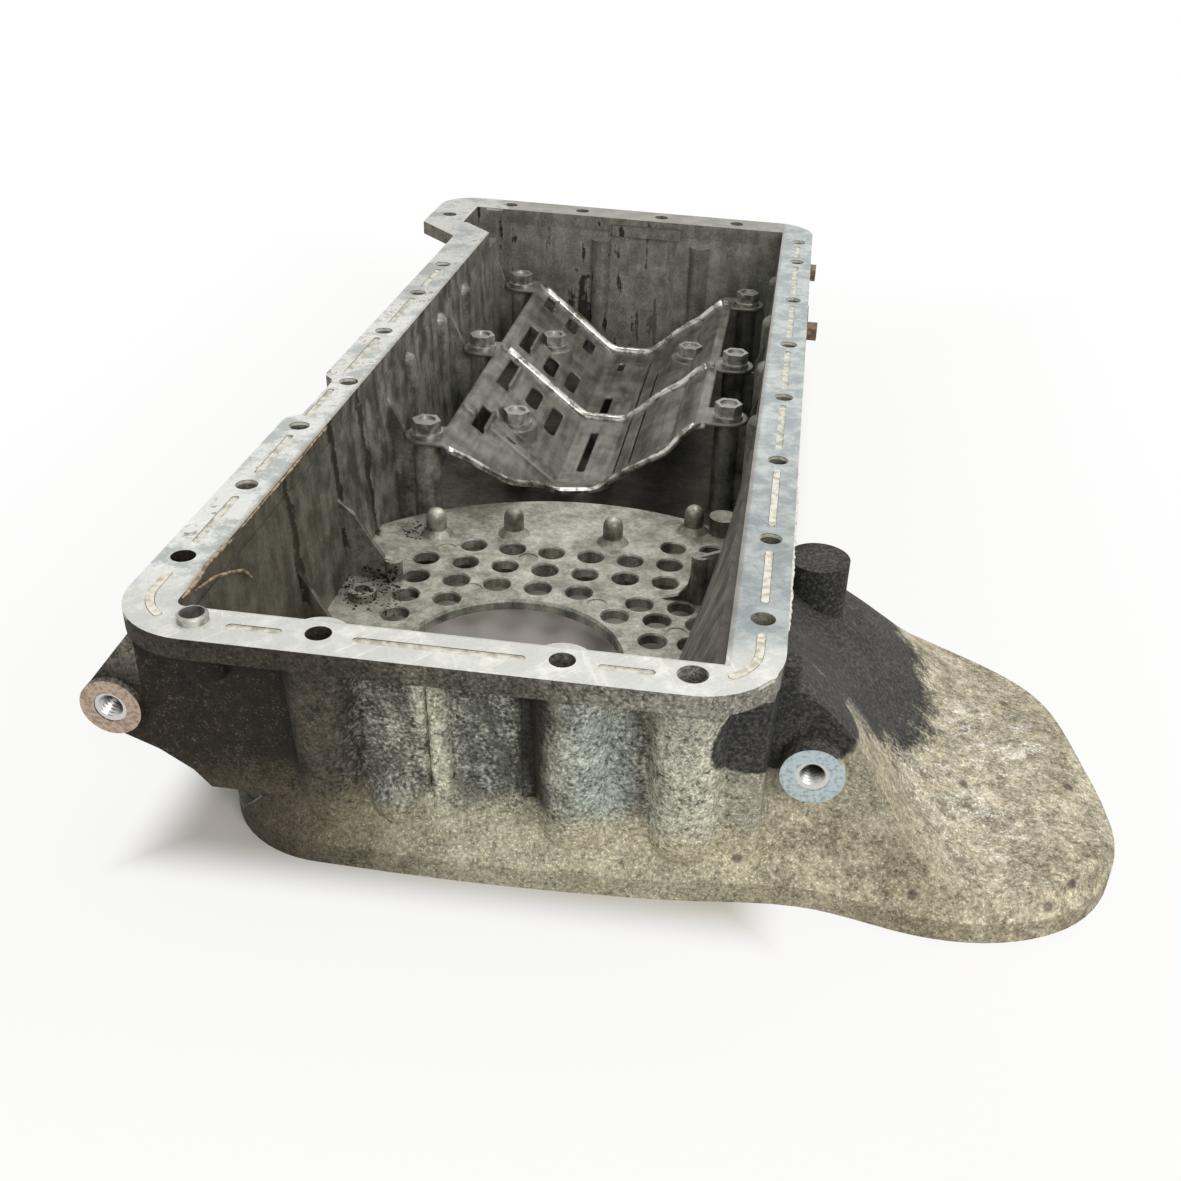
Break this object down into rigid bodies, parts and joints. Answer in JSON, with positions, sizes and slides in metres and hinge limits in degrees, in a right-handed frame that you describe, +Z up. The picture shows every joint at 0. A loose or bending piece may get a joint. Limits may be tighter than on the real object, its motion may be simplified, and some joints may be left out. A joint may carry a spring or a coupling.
{
  "type": "engine oil pan",
  "caption": "Cast upper oil pan with a perforated deck, a windage tray bolted inside, a side wing and a lower joint flange.",
  "frame": {"origin": "on the block joint face, on the crankshaft centre line, midway between the two bolt holes at the gearbox end", "axes": "+Z up to the engine block, +Y along the engine from the gearbox end to the timing end, +X to the side with the wing"},
  "size_m": [0.39, 0.5808, 0.103],
  "materials": {
    "casting": "as cast and oily, machined on the block joint",
    "tray_steel": "oily sheet steel",
    "bright_steel": "bright turned steel",
    "rusty_steel": "brown, lightly rusted",
    "zinc_steel": "zinc plated",
    "sealant": "old cured sealant"
  },
  "bodies": {
    "root": {"pan_casting": "casting", "windage_tray": "tray_steel", "dowel_sleeve": "bright_steel", "thread_insert_left": "bright_steel", "thread_insert_right": "bright_steel", "side_clip": "rusty_steel", "side_bolt_mid": "rusty_steel", "side_bolt_far": "rusty_steel", "tray_bolt_1": "zinc_steel", "tray_bolt_2": "zinc_steel", "tray_bolt_3": "zinc_steel", "tray_bolt_4": "zinc_steel", "tray_bolt_5": "zinc_steel", "tray_bolt_6": "zinc_steel", "tray_bolt_7": "zinc_steel", "tray_bolt_8": "zinc_steel", "tray_bolt_9": "zinc_steel", "sealant_strip_1": "sealant", "sealant_strip_2": "sealant", "sealant_strip_3": "sealant", "sealant_strip_4": "sealant"}
  },
  "joints": []
}
